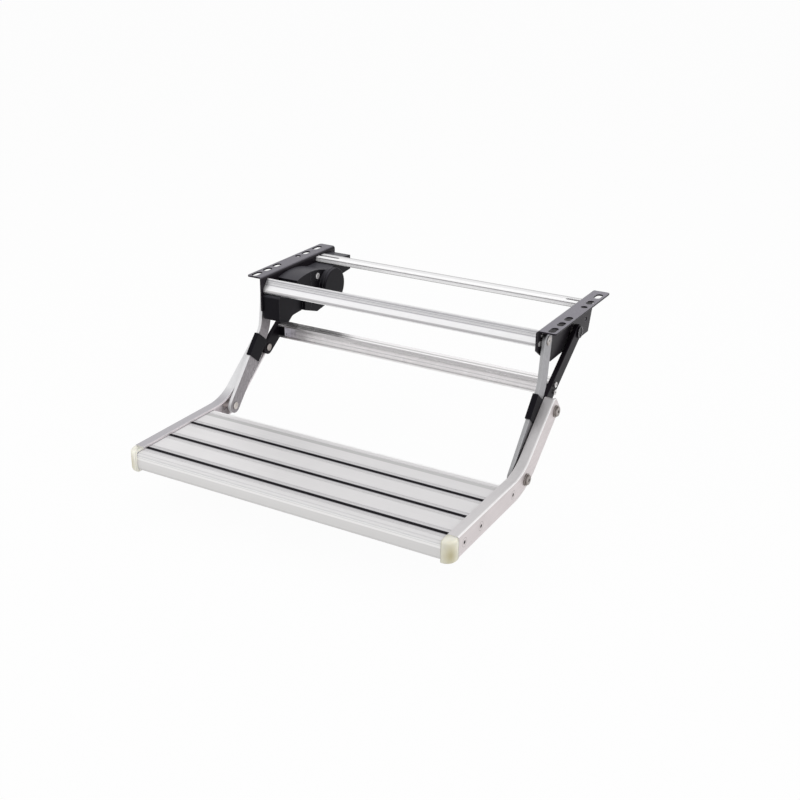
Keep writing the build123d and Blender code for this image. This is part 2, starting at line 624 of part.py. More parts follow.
# End cap: rounded corner piece with a spigot in the nosing's hollow
with BuildPart() as right_end_cap:
    cap_bottom = CHEEK_MID - CHEEK_HALF - CAP_BELOW
    cap_height = CHEEK_HEIGHT + CAP_ABOVE + CAP_BELOW
    cap_w = CAP_INSET + CAP_PROUD
    cap_d = CHEEK_SETBACK + CAP_FRONT
    with BuildSketch(level(cap_bottom)) as plan:
        with Locations((NOSING_END + cap_w / 2, CHEEK_FRONT - cap_d / 2)):
            Rectangle(cap_w, cap_d)
        corner = (NOSING_END + cap_w, CHEEK_FRONT - cap_d)
        fillet(plan.vertices().sort_by_distance(corner)[0], CAP_CORNER_R)
    extrude(amount=cap_height)
    rims = right_end_cap.edges().group_by(Axis.Z)
    fillet(rims[0] + rims[-1], CAP_EDGE_R)
    with BuildSketch(side(NOSING_END)):
        spigot_front = TREAD_FRONT + PANEL_TOP_WALL + SPIGOT_FIT
        spigot_rear = STRIP_LINES[0] - STRIP_BASE_W / 2 - PANEL_WALL - SPIGOT_FIT
        spigot_top = TREAD_TOP - PANEL_TOP_WALL - SPIGOT_FIT
        spigot_low = TREAD_BOTTOM + PANEL_WALL + SPIGOT_FIT
        with Locations(((spigot_front + spigot_rear) / 2, (spigot_top + spigot_low) / 2)):
            Rectangle(spigot_rear - spigot_front, spigot_top - spigot_low)
    extrude(amount=-SPIGOT_LENGTH)

# Pivot A: stud with a thin round head, and a washer under the arm
with BuildPart() as right_front_stud:
    extrude(disc(side(PLATE_IN), [PIVOT_A], STUD_R), amount=FRONT_ARM_OUT - PLATE_IN)
    extrude(disc(side(FRONT_ARM_OUT), [PIVOT_A], STUD_HEAD_R), amount=STUD_HEAD_H)
    fillet(right_front_stud.edges().group_by(Axis.X)[-1], STUD_HEAD_H / 2)
    centre = disc(side(FRONT_ARM_OUT + STUD_HEAD_H), [PIVOT_A], STUD_CENTRE_R)
    extrude(centre, amount=-2 * STUD_HEAD_H, mode=Mode.SUBTRACT)

with BuildPart() as right_front_washer:
    extrude(disc(side(PLATE_OUT), [PIVOT_A], FRONT_WASHER_R), amount=WASHER_T)
    extrude(disc(side(PLATE_OUT), [PIVOT_A], STUD_R + RUN_FIT), amount=WASHER_T, mode=Mode.SUBTRACT)

# Pivot B: flanged bolt on the right, the drive's output shaft on the left
with BuildPart() as right_rear_bolt:
    bolt_start = PLATE_IN - NUT_H - NUT_TAIL
    extrude(disc(side(bolt_start), [PIVOT_B], BOLT_R), amount=REAR_ARM_OUT - bolt_start)
    extrude(disc(side(REAR_ARM_OUT), [PIVOT_B], BOLT_HEAD_R), amount=BOLT_HEAD_H)
    dish = disc(side(REAR_ARM_OUT + BOLT_HEAD_H), [PIVOT_B], BOLT_HEAD_R - BOLT_RIM)
    extrude(dish, amount=-BOLT_DISH, mode=Mode.SUBTRACT)

with BuildPart() as right_rear_nut:
    extrude(hexagon(side(PLATE_IN), [PIVOT_B], BOLT_AF), amount=-NUT_H)
    extrude(disc(side(PLATE_IN), [PIVOT_B], BOLT_R + RUN_FIT), amount=-NUT_H, mode=Mode.SUBTRACT)

with BuildPart() as right_rear_washer:
    extrude(disc(side(PLATE_OUT), [PIVOT_B], REAR_WASHER_R), amount=WASHER_T)
    extrude(disc(side(PLATE_OUT), [PIVOT_B], BOLT_R + RUN_FIT), amount=WASHER_T, mode=Mode.SUBTRACT)

with BuildPart() as drive_shaft:
    extrude(disc(side(-REAR_ARM_OUT), [PIVOT_B], BOLT_R), amount=REAR_ARM_OUT - PLATE_IN + HUB_DEPTH)
    extrude(disc(side(-PLATE_IN), [PIVOT_B], HUB_R), amount=HUB_DEPTH)
    extrude(disc(side(-REAR_ARM_OUT), [PIVOT_B], BOLT_HEAD_R), amount=-BOLT_HEAD_H)
    dish = disc(side(-REAR_ARM_OUT - BOLT_HEAD_H), [PIVOT_B], BOLT_HEAD_R - BOLT_RIM)
    extrude(dish, amount=BOLT_DISH, mode=Mode.SUBTRACT)

# Pivot C: a bolt and spacer in the cheek, a riveted pin in the arm
with BuildPart() as right_cheek_bolt:
    extrude(disc(side(CHEEK_IN), [PIVOT_C], PIN_R), amount=CHEEK_DEPTH)
    extrude(disc(side(CHEEK_OUT), [PIVOT_C], CHEEK_FLANGE_R), amount=CHEEK_FLANGE_H)
    extrude(disc(side(CHEEK_OUT), [PIVOT_C], CHEEK_HEAD_R), amount=CHEEK_HEAD_H)
    fillet(right_cheek_bolt.edges().group_by(Axis.X)[-1], CHEEK_HEAD_EDGE_R)
    socket = hexagon(side(CHEEK_OUT + CHEEK_HEAD_H), [PIVOT_C], CHEEK_SOCKET_AF)
    extrude(socket, amount=-CHEEK_SOCKET_D, mode=Mode.SUBTRACT)

with BuildPart() as right_front_spacer:
    extrude(disc(side(CHEEK_IN), [PIVOT_C], SPACER_R), amount=WEB_IN - CHEEK_IN)
    extrude(disc(side(CHEEK_IN), [PIVOT_C], PIN_R + RUN_FIT), amount=WEB_IN - CHEEK_IN, mode=Mode.SUBTRACT)

with BuildPart() as right_arm_pin:
    extrude(disc(side(ARM_IN), [PIVOT_C], PIN_R), amount=FRONT_ARM_T)
    extrude(disc(side(ARM_IN), [PIVOT_C], RIVET_R), amount=-RIVET_H)
    extrude(disc(side(FRONT_ARM_OUT), [PIVOT_C], ARM_COLLAR_R), amount=CHEEK_IN - OPEN_GAP - FRONT_ARM_OUT)

# Pivot D: one bolt through the cheek, a spacer and the rear arm, riveted at its inner end
with BuildPart() as right_tread_bolt:
    extrude(disc(side(ARM_IN), [PIVOT_D], PIN_R), amount=CHEEK_OUT - ARM_IN)
    extrude(disc(side(ARM_IN), [PIVOT_D], RIVET_R), amount=-RIVET_H)
    extrude(disc(side(CHEEK_OUT), [PIVOT_D], CHEEK_FLANGE_R), amount=CHEEK_FLANGE_H)
    extrude(disc(side(CHEEK_OUT), [PIVOT_D], CHEEK_HEAD_R), amount=CHEEK_HEAD_H)
    fillet(right_tread_bolt.edges().group_by(Axis.X)[-1], CHEEK_HEAD_EDGE_R)
    socket = hexagon(side(CHEEK_OUT + CHEEK_HEAD_H), [PIVOT_D], CHEEK_SOCKET_AF)
    extrude(socket, amount=-CHEEK_SOCKET_D, mode=Mode.SUBTRACT)

with BuildPart() as right_tread_spacer:
    extrude(disc(side(REAR_ARM_OUT), [PIVOT_D], SPACER_R), amount=WEB_IN - REAR_ARM_OUT)
    spacer_bore = disc(side(REAR_ARM_OUT), [PIVOT_D], PIN_R + RUN_FIT)
    extrude(spacer_bore, amount=WEB_IN - REAR_ARM_OUT, mode=Mode.SUBTRACT)

# Screws: bars to bracket, link bar to arm, cheek to panel
with BuildPart() as right_bar_screws:
    extrude(disc(side(PLATE_OUT), BAR_SCREWS, BAR_SCREW_R), amount=-BAR_SCREW_LENGTH)
    extrude(disc(side(PLATE_OUT), BAR_SCREWS, BAR_HEAD_R), amount=BAR_HEAD_H)
    recess = hexagon(side(PLATE_OUT + BAR_HEAD_H), BAR_SCREWS, RECESS_AF)
    extrude(recess, amount=-BAR_HEAD_H / 2, mode=Mode.SUBTRACT)

with BuildPart() as right_link_screws:
    extrude(disc(side(REAR_ARM_OUT), LINK_SCREWS, BAR_SCREW_R), amount=-BAR_SCREW_LENGTH)
    extrude(disc(side(REAR_ARM_OUT), LINK_SCREWS, LINK_HEAD_R), amount=LINK_HEAD_H)
    recess = hexagon(side(REAR_ARM_OUT + LINK_HEAD_H), LINK_SCREWS, RECESS_AF)
    extrude(recess, amount=-LINK_HEAD_H / 2, mode=Mode.SUBTRACT)

with BuildPart() as right_panel_screws:
    with Locations(side(CHEEK_OUT)):
        with Locations(*SCREW_POINTS):
            inward = (Align.CENTER, Align.CENTER, Align.MAX)
            Cone(CSK_SHANK_R, CSK_HEAD_R, CSK_HEAD_H, align=inward)
            Cylinder(CSK_SHANK_R, CSK_LENGTH, align=inward)
            Box(CSK_CROSS, CSK_CROSS_W, CSK_CROSS_D, align=inward, mode=Mode.SUBTRACT)
            Box(CSK_CROSS_W, CSK_CROSS, CSK_CROSS_D, align=inward, mode=Mode.SUBTRACT)

# Drive: moulded cover on the left bracket, hollow towards the plate
LOBE_FACE = -PLATE_IN + LOBE_DEPTH
BODY_FACE = -PLATE_IN + BODY_DEPTH
DRUM_FACE = BODY_FACE + DRUM_DEPTH
BAR_UNDER = REAR_BAR_TOP - REAR_BAR_T - TAIL_GAP
BAR_BEHIND = REAR_BAR_FRONT + REAR_BAR_W + TAIL_GAP
LOBE_REAR_LOW = (LOBE_REAR, LOBE_WAIST[1][1])
with BuildPart() as drive_cover:
    with BuildSketch(side(-PLATE_IN)) as lobe_outline:
        with BuildLine():
            FilletPolyline(
                (LOBE_FRONT, LOBE_TOP),
                *LOBE_CHIN,
                *LOBE_WAIST,
                LOBE_REAR_LOW,
                (LOBE_REAR, LOBE_TOP),
                radius=COVER_CORNER_R,
                close=True,
            )
        make_face()
    extrude(amount=LOBE_DEPTH)
    with BuildSketch(side(-PLATE_IN)) as body_outline:
        with BuildLine():
            arch_end = (BODY_ARCH_END, BAR_UNDER)
            drum_low, drum_side, drum_leave = [
                (PIVOT_B[0] + DRUM_R * cos(angle), PIVOT_B[1] + DRUM_R * sin(angle))
                for angle in (radians(-90), radians(-45), TAIL_LEAVE)
            ]
            ThreePointArc(*BODY_ARCH, arch_end)
            Polyline(
                BODY_ARCH[0],
                BODY_FOOT,
                (LOBE_REAR, LOBE_TOP),
                LOBE_REAR_LOW,
                BODY_BELLY,
                BODY_HEEL,
                drum_low,
            )
            ThreePointArc(drum_low, drum_side, drum_leave)
            Polyline(
                drum_leave,
                (BRACKET_LENGTH - TAIL_END, TAIL_LOW),
                (BRACKET_LENGTH - TAIL_END, TAIL_TOP[1]),
                (BAR_BEHIND, TAIL_TOP[0]),
                (BAR_BEHIND, BAR_UNDER),
                arch_end,
            )
        make_face()
    extrude(amount=BODY_DEPTH)
    extrude(disc(side(BODY_FACE), [PIVOT_B], DRUM_R), amount=DRUM_DEPTH)
    fillet(drive_cover.edges().group_by(Axis.X)[-1], DRUM_EDGE_R)
    with BuildSketch(side(BODY_FACE + DRUM_GROOVE[0])):
        with Locations(PIVOT_B):
            Circle(DRUM_R)
            Circle(DRUM_R - DRUM_GROOVE[2], mode=Mode.SUBTRACT)
    extrude(amount=DRUM_GROOVE[1], mode=Mode.SUBTRACT)
    with BuildSketch(side(BODY_FACE)):
        with Locations((BODY_SEAM, 0)):
            Rectangle(GROOVE_W, -LOBE_REAR_LOW[1], align=(Align.CENTER, Align.MAX))
    extrude(amount=-GROOVE_D, mode=Mode.SUBTRACT)
    recess = disc(side(BODY_FACE), [COVER_SCREW], COVER_RECESS_R)
    extrude(recess, amount=-COVER_RECESS_D, mode=Mode.SUBTRACT)
    with BuildSketch(side(-PLATE_IN)):
        add(lobe_outline.sketch_local)
        offset(amount=-COVER_WALL, mode=Mode.REPLACE)
    extrude(amount=LOBE_DEPTH - COVER_WALL, mode=Mode.SUBTRACT)
    with BuildSketch(side(-PLATE_IN)):
        add(body_outline.sketch_local)
        offset(amount=-COVER_WALL, mode=Mode.REPLACE)
    extrude(amount=BODY_DEPTH - COVER_WALL, mode=Mode.SUBTRACT)
    motor_room = disc(side(BODY_FACE - COVER_WALL), [PIVOT_B], MOTOR_R + COVER_WALL / 2)
    extrude(motor_room, amount=DRUM_DEPTH, mode=Mode.SUBTRACT)

# Motor can inside the drum
with BuildPart() as drive_motor:
    motor_start = -PLATE_IN + HUB_DEPTH + MOTOR_GAP
    extrude(disc(side(motor_start), [PIVOT_B], MOTOR_R), amount=DRUM_FACE - COVER_WALL - motor_start)

with BuildPart() as cover_screw:
    seat = BODY_FACE - COVER_RECESS_D
    extrude(disc(side(seat), [COVER_SCREW], COVER_SCREW_R), amount=COVER_SCREW_H)
    recess = hexagon(side(seat + COVER_SCREW_H), [COVER_SCREW], RECESS_AF)
    extrude(recess, amount=-COVER_SCREW_H / 2, mode=Mode.SUBTRACT)

single_pieces = {
    "left_bracket": left_bracket,
    "right_bracket": right_bracket,
    "front_bar": front_bar,
    "rear_bar": rear_bar,
    "link_bar": link_bar,
    "tread_panel": tread_panel,
    "drive_cover": drive_cover,
    "drive_motor": drive_motor,
    "cover_screw": cover_screw,
    "drive_shaft": drive_shaft,
    "right_rear_bolt": right_rear_bolt,
    "right_rear_nut": right_rear_nut,
}
for number, strip in enumerate(strips, start=1):
    single_pieces[f"grip_strip_{number}"] = strip

paired_pieces = {
    "front_arm": right_front_arm,
    "arm_sleeve": right_arm_sleeve,
    "rear_arm": right_rear_arm,
    "link_plug": right_link_plug,
    "cheek": right_cheek,
    "end_cap": right_end_cap,
    "front_stud": right_front_stud,
    "front_washer": right_front_washer,
    "rear_washer": right_rear_washer,
    "cheek_bolt": right_cheek_bolt,
    "front_spacer": right_front_spacer,
    "arm_pin": right_arm_pin,
    "tread_bolt": right_tread_bolt,
    "tread_spacer": right_tread_spacer,
    "bar_screws": right_bar_screws,
    "link_screws": right_link_screws,
    "panel_screws": right_panel_screws,
}

for node, piece in single_pieces.items():
    piece.part.label = node
    export_step(piece.part, f"parts/{node}.step")

for node, piece in paired_pieces.items():
    with BuildPart() as left_piece:
        mirror(piece.part, about=Plane.YZ)
    piece.part.label = f"right_{node}"
    left_piece.part.label = f"left_{node}"
    export_step(piece.part, f"parts/right_{node}.step")
    export_step(left_piece.part, f"parts/left_{node}.step")
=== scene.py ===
import math

import bmesh
import bpy
from mathutils import Matrix, Vector


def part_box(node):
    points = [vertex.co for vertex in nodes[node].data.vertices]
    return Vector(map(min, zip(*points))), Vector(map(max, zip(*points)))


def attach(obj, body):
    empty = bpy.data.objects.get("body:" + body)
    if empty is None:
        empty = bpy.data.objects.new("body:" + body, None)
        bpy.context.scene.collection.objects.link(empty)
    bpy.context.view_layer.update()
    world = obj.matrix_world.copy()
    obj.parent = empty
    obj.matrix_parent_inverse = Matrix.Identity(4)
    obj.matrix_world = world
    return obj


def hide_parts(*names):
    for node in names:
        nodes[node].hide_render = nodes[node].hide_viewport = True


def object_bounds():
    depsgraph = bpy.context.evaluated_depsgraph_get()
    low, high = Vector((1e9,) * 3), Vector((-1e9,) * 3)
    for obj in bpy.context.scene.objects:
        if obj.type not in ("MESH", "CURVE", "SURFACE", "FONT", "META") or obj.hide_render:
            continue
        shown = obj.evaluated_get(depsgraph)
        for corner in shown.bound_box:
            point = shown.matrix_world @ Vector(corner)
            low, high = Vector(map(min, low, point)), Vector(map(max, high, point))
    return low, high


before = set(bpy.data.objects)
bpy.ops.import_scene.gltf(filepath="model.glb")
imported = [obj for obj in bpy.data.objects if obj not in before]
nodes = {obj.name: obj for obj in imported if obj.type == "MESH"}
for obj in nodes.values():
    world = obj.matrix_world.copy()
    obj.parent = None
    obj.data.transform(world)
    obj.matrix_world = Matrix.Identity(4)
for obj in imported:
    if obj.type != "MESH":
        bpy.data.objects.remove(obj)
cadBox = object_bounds()
print("frame loaded,", len(nodes), "nodes")


def centreOf(node):
    low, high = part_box(node)
    return [(low[i] + high[i]) / 2 for i in range(3)]


# lines on a profile are placed from its front top edge: y runs back, and z is negative below it
def frontTop(node):
    low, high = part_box(node)
    return (0, -low[1], -high[2])


# middles of a node's separate screws, which lie in a row along y with gaps between them
def rowAlongY(node, gap=0.01):
    points = sorted((v.co for v in nodes[node].data.vertices), key=lambda point: point.y)
    groups = [[points[0]]]
    for point in points[1:]:
        if point.y - groups[-1][-1].y > gap:
            groups.append([])
        groups[-1].append(point)
    return [sum(group, Vector()) / len(group) for group in groups]


def pair(stem):
    return [f"{side}_{stem}" for side in ("left", "right")]


def dress(material, *names):
    for name in names:
        slots = nodes[name].data.materials
        slots.clear()
        slots.append(material)


def newMaterial(name):
    material = bpy.data.materials.new(name)
    material.use_nodes = True
    tree = material.node_tree
    tree.nodes.clear()
    output = tree.nodes.new("ShaderNodeOutputMaterial")
    shader = tree.nodes.new("ShaderNodeBsdfPrincipled")
    tree.links.new(shader.outputs["BSDF"], output.inputs["Surface"])
    return material, tree, shader


def objectSpace(tree, scale=(1, 1, 1), rotation=(0, 0, 0), location=(0, 0, 0)):
    coords = tree.nodes.new("ShaderNodeTexCoord")
    mapping = tree.nodes.new("ShaderNodeMapping")
    mapping.inputs["Scale"].default_value = scale
    mapping.inputs["Rotation"].default_value = rotation
    mapping.inputs["Location"].default_value = location
    tree.links.new(coords.outputs["Object"], mapping.inputs["Vector"])
    return mapping.outputs["Vector"]


def noise(tree, vector, scale, detail=3.0, roughness=0.55):
    texture = tree.nodes.new("ShaderNodeTexNoise")
    texture.inputs["Scale"].default_value = scale
    texture.inputs["Detail"].default_value = detail
    texture.inputs["Roughness"].default_value = roughness
    tree.links.new(vector, texture.inputs["Vector"])
    return texture.outputs["Fac"]


def ramp(tree, factor, places, colours):
    node = tree.nodes.new("ShaderNodeValToRGB")
    for element, place, colour in zip(node.color_ramp.elements, places, colours):
        element.position = place
        element.color = (*colour, 1.0)
    tree.links.new(factor, node.inputs["Fac"])
    return node.outputs["Color"]


def span(tree, factor, low, high, start=0.0, stop=1.0):
    node = tree.nodes.new("ShaderNodeMapRange")
    node.inputs["From Min"].default_value = start
    node.inputs["From Max"].default_value = stop
    node.inputs["To Min"].default_value = low
    node.inputs["To Max"].default_value = high
    tree.links.new(factor, node.inputs["Value"])
    return node.outputs["Result"]


def calculate(tree, operation, *values):
    node = tree.nodes.new("ShaderNodeMath")
    node.operation = operation
    for socket, value in zip(node.inputs, values):
        tree.links.new(value, socket)
    return node.outputs[0]


def both(tree, first, second):
    return calculate(tree, "MULTIPLY", first, second)


# each of the three is a number or another node's result
def mixValue(tree, share, first, second):
    node = tree.nodes.new("ShaderNodeMix")
    node.data_type = "FLOAT"
    for place, value in ((0, share), (2, first), (3, second)):
        if isinstance(value, float):
            node.inputs[place].default_value = value
        else:
            tree.links.new(value, node.inputs[place])
    return node.outputs[0]


# lays a plain colour, or another node's colours, over what is there
def tint(tree, base, colour, factor):
    node = tree.nodes.new("ShaderNodeMix")
    node.data_type = "RGBA"
    tree.links.new(factor, node.inputs[0])
    tree.links.new(base, node.inputs[6])
    if isinstance(colour, tuple):
        node.inputs[7].default_value = (*colour, 1.0)
    else:
        tree.links.new(colour, node.inputs[7])
    return node.outputs[2]


def shade(colour, factor):
    return tuple(c * factor for c in colour)


def mottled(tree, factor, colour, places, shades):
    return ramp(tree, factor, places, [shade(colour, amount) for amount in shades])


def apart(tree, vector):
    node = tree.nodes.new("ShaderNodeSeparateXYZ")
    tree.links.new(vector, node.inputs[0])
    return node.outputs


def lengthOf(tree, vector):
    node = tree.nodes.new("ShaderNodeVectorMath")
    node.operation = "LENGTH"
    tree.links.new(vector, node.inputs[0])
    return node.outputs["Value"]


# 1 between two places along an axis, fading out over a soft edge
def band(tree, value, low, high, soft):
    rise = span(tree, value, 0.0, 1.0, low - soft, low + soft)
    fall = span(tree, value, 1.0, 0.0, high - soft, high + soft)
    return both(tree, rise, fall)


def facing(tree):
    geometry = tree.nodes.new("ShaderNodeNewGeometry")
    return apart(tree, geometry.outputs["Normal"])


# how squarely a face looks along x, which the folding never changes
def sideways(tree, start, stop):
    return span(tree, calculate(tree, "ABSOLUTE", facing(tree)["X"]), 0.0, 1.0, start, stop)


# how far a face looks up: used on pieces that stay level as the step folds
def upwards(tree, start, stop):
    return span(tree, facing(tree)["Z"], 0.0, 1.0, start, stop)


# distance from a place along one axis
def acrossFrom(tree, place, axis):
    offset = apart(tree, objectSpace(tree, location=[-c for c in place]))
    return calculate(tree, "ABSOLUTE", offset[axis])


edgeSearch = {"samples": 6, "full": 0.72, "none": 0.98}      # cosines to the rounded normal
hollowSearch = {"samples": 6, "full": 0.25, "none": 0.8}     # shares of open space


# rounded edges for the light, and how far a spot is onto one
def roundedEdge(tree, radius):
    bevel = tree.nodes.new("ShaderNodeBevel")
    bevel.samples = edgeSearch["samples"]
    bevel.inputs["Radius"].default_value = radius
    geometry = tree.nodes.new("ShaderNodeNewGeometry")
    along = tree.nodes.new("ShaderNodeVectorMath")
    along.operation = "DOT_PRODUCT"
    tree.links.new(bevel.outputs["Normal"], along.inputs[0])
    tree.links.new(geometry.outputs["Normal"], along.inputs[1])
    edge = span(tree, along.outputs["Value"], 1.0, 0.0, edgeSearch["full"], edgeSearch["none"])
    return bevel.outputs["Normal"], edge


def crevice(tree, reach):
    hollow = tree.nodes.new("ShaderNodeAmbientOcclusion")
    hollow.samples = hollowSearch["samples"]
    hollow.inputs["Distance"].default_value = reach
    return span(tree, hollow.outputs["AO"], 1.0, 0.0, hollowSearch["full"], hollowSearch["none"])


def bump(tree, shader, height, strength, distance, normal):
    node = tree.nodes.new("ShaderNodeBump")
    node.inputs["Strength"].default_value = strength
    node.inputs["Distance"].default_value = distance
    tree.links.new(height, node.inputs["Height"])
    tree.links.new(normal, node.inputs["Normal"])
    tree.links.new(node.outputs["Normal"], shader.inputs["Normal"])


# paler edges: rubbed wear together with a painted highlight
def wornAndHighlit(tree, tone, look, edge):
    return tint(tree, tone, look["edgeColour"], span(tree, edge, 0.0, look["edgeWearAndHighlight"]))


# painted light where a face looks up, or painted shade where the top colour is darker
def paintedTopTone(tree, tone, look):
    if "paintedTopColour" not in look:
        return tone
    mask = upwards(tree, *look["topFrom"])
    return tint(tree, tone, look["paintedTopColour"], span(tree, mask, 0.0, look["paintedTopWeight"]))


# rings about axes along x, as round the screws
def ringed(tree, tone, look):
    for place in look.get("axes", []):
        space = objectSpace(tree, scale=(0, 1, 1), location=(0, -place[1], -place[2]))
        off = lengthOf(tree, space)
        for low, high in look["rings"]:
            mask = band(tree, off, low, high, look["ringSoft"])
            tone = tint(tree, tone, look["ringColour"], span(tree, mask, 0.0, look["ringWear"]))
    return tone


# lines and bands along a profile
def lined(tree, tone, look):
    place = apart(tree, objectSpace(tree, location=look["corner"]))
    for colour, weight, *bands in look["lines"]:
        masks = [band(tree, place[axis], *limits) for axis, *limits in bands]
        mask = masks[0]
        for other in masks[1:]:
            mask = both(tree, mask, other)
        tone = tint(tree, tone, colour, span(tree, mask, 0.0, weight))
    return tone


def glossy(shader, look):
    shader.inputs["Specular IOR Level"].default_value = look["shine"]
    shader.inputs["Specular Tint"].default_value = (*look["shineColour"], 1.0)


drawn = {"streakDetail": 4.0, "markDetail": 5.0, "markRough": 0.6, "markShare": 0.4,
         "places": (0.3, 0.7), "shades": (0.93, 1.04), "broadFacePlaces": (0.36, 0.64), "broadFaceFrom": (0.8, 0.95),
         "roughSpread": 0.07, "depth": 0.0004}


# drawn and anodised aluminium: streaks along the drawing direction, handling marks,
# edges paler with wear and a painted highlight
def anodisedAluminium(name, look):
    material, tree, shader = newMaterial(name)
    streaks = noise(tree, objectSpace(tree, look["streakScale"], look["turn"]), 1.0, drawn["streakDetail"])
    marks = noise(tree, objectSpace(tree), look["markScale"], drawn["markDetail"], drawn["markRough"])
    mixed = mixValue(tree, drawn["markShare"], streaks, marks)
    tone = mottled(tree, mixed, look["colour"], drawn["places"], drawn["shades"])
    normal, edge = roundedEdge(tree, look["edge"])
    if "broadFaceTone" in look:                 # broad faces along x: painted shade on the arms, painted light on the left cheek
        clouded = mottled(tree, mixed, look["broadFaceTone"], drawn["broadFacePlaces"], look["cloud"])
        tone = tint(tree, tone, clouded, sideways(tree, *drawn["broadFaceFrom"]))
    if "paintedOuterTop" in look:             # outer part of a cheek's top: painted highlight on the right, painted shade on the left
        outward = span(tree, acrossFrom(tree, (0, 0, 0), "X"), 0.0, 1.0, *look["outerFrom"])
        tone = tint(tree, tone, look["paintedOuterTop"], both(tree, upwards(tree, *look["upFrom"]), outward))
    if "lines" in look:
        tone = lined(tree, tone, look)
    tone = ringed(tree, tone, look)
    # painted shade in hollows and gaps; on the cheeks a painted light that lifts their shade
    hollow = span(tree, crevice(tree, look["grooveReach"]), 0.0, look["grooveWear"])
    tone = wornAndHighlit(tree, tint(tree, tone, look["groove"], hollow), look, edge)
    tree.links.new(tone, shader.inputs["Base Color"])
    spread = drawn["roughSpread"]
    rough = span(tree, mixed, look["rough"] - spread, look["rough"] + spread)
    tree.links.new(rough, shader.inputs["Roughness"])
    shader.inputs["Metallic"].default_value = look["metal"]
    bump(tree, shader, streaks, look["bump"], drawn["depth"], normal)
    return material


coated = {"peelDetail": 2.0, "wearDetail": 6.0, "wearRough": 0.65,
          "places": (0.35, 0.75), "shades": (1.0, 1.6),
          "smoother": 0.05, "rougher": 0.1, "depth": 0.0003}


# powder-coated steel: fine orange peel, painted light on top faces, edges paler with wear and a painted
# highlight
def powderCoat(name, look):
    material, tree, shader = newMaterial(name)
    space = objectSpace(tree)
    peel = noise(tree, space, look["peelScale"], coated["peelDetail"])
    wear = noise(tree, space, look["wearScale"], coated["wearDetail"], coated["wearRough"])
    tone = mottled(tree, wear, look["colour"], coated["places"], coated["shades"])
    normal, edge = roundedEdge(tree, look["edge"])
    tone = wornAndHighlit(tree, paintedTopTone(tree, tone, look), look, edge)
    tree.links.new(tone, shader.inputs["Base Color"])
    rough = span(tree, wear, look["rough"] - coated["smoother"], look["rough"] + coated["rougher"])
    tree.links.new(rough, shader.inputs["Roughness"])
    glossy(shader, look)
    bump(tree, shader, peel, look["bump"], coated["depth"], normal)
    return material


moulded = {"grainDetail": 3.0, "grainRough": 0.7, "places": (0.3, 0.7), "shades": (0.88, 1.1),
           "roughSpread": 0.08, "depth": 0.0002, "scatter": (0.004, 0.0035, 0.0025)}


# moulded plastic and rubber: spark-eroded grain with a soft drift in tone
def mouldedPlastic(name, look):
    material, tree, shader = newMaterial(name)
    space = objectSpace(tree)
    grain = noise(tree, space, look["grainScale"], moulded["grainDetail"], moulded["grainRough"])
    drift = noise(tree, space, look["driftScale"])
    tone = mottled(tree, drift, look["colour"], moulded["places"], moulded["shades"])
    normal, edge = roundedEdge(tree, look["edge"])
    tone = paintedTopTone(tree, wornAndHighlit(tree, tone, look, edge), look)
    if "core" in look:                 # deeper in colour towards a point inside the piece
        depth = lengthOf(tree, objectSpace(tree, scale=look["coreScale"], location=look["core"]))
        weight = span(tree, depth, look["coreWeight"], 0.0, *look["coreFrom"])
        tone = tint(tree, tone, look["coreColour"], weight)
    if "lipAndReflection" in look:                  # paler off a middle along one axis: strips' pale lip, plugs' painted reflection
        reach = acrossFrom(tree, look["middle"], look["lipAndReflectionAxis"])
        tone = tint(tree, tone, look["lipAndReflection"], span(tree, reach, 0.0, 1.0, *look["lipAndReflectionFrom"]))
    tree.links.new(tone, shader.inputs["Base Color"])
    spread = moulded["roughSpread"]
    rough = span(tree, grain, look["rough"] - spread, look["rough"] + spread)
    tree.links.new(rough, shader.inputs["Roughness"])
    glossy(shader, look)
    shader.inputs["Subsurface Weight"].default_value = look["subsurface"]
    shader.inputs["Subsurface Radius"].default_value = moulded["scatter"]
    bump(tree, shader, grain, look["bump"], moulded["depth"], normal)
    return material


turned = {"ringWaver": 0.6, "ringDetail": 2.0, "stainDetail": 4.0, "places": (0.3, 0.65), "rougher": 0.12,
          "metal": 0.9, "depth": 0.0002}


# turned and plated steel: rings about the piece's own axis, painted shade in its recesses
def turnedSteel(name, look, centre):
    material, tree, shader = newMaterial(name)
    space = objectSpace(tree, location=[-c for c in centre])
    rings = tree.nodes.new("ShaderNodeTexWave")
    rings.wave_type = "RINGS"
    rings.rings_direction = "X"
    rings.inputs["Scale"].default_value = look["ringScale"]
    rings.inputs["Distortion"].default_value = turned["ringWaver"]
    rings.inputs["Detail"].default_value = turned["ringDetail"]
    tree.links.new(space, rings.inputs["Vector"])
    stain = noise(tree, space, look["stainScale"], turned["stainDetail"])
    tone = ramp(tree, stain, turned["places"], (look["stain"], look["colour"]))
    normal, edge = roundedEdge(tree, look["edge"])
    tone = wornAndHighlit(tree, tone, look, edge)
    tone = tint(tree, tone, look["recess"], crevice(tree, look["recessReach"]))
    tone = ringed(tree, tone, look)
    tree.links.new(tone, shader.inputs["Base Color"])
    rough = span(tree, stain, look["rough"] + turned["rougher"], look["rough"])
    tree.links.new(rough, shader.inputs["Roughness"])
    shader.inputs["Metallic"].default_value = turned["metal"]
    bump(tree, shader, rings.outputs["Fac"], look["bump"], turned["depth"], normal)
    return material


def plate(prefix, look, node):
    dress(turnedSteel(f"{prefix}_{node}", look, centreOf(node)), node)


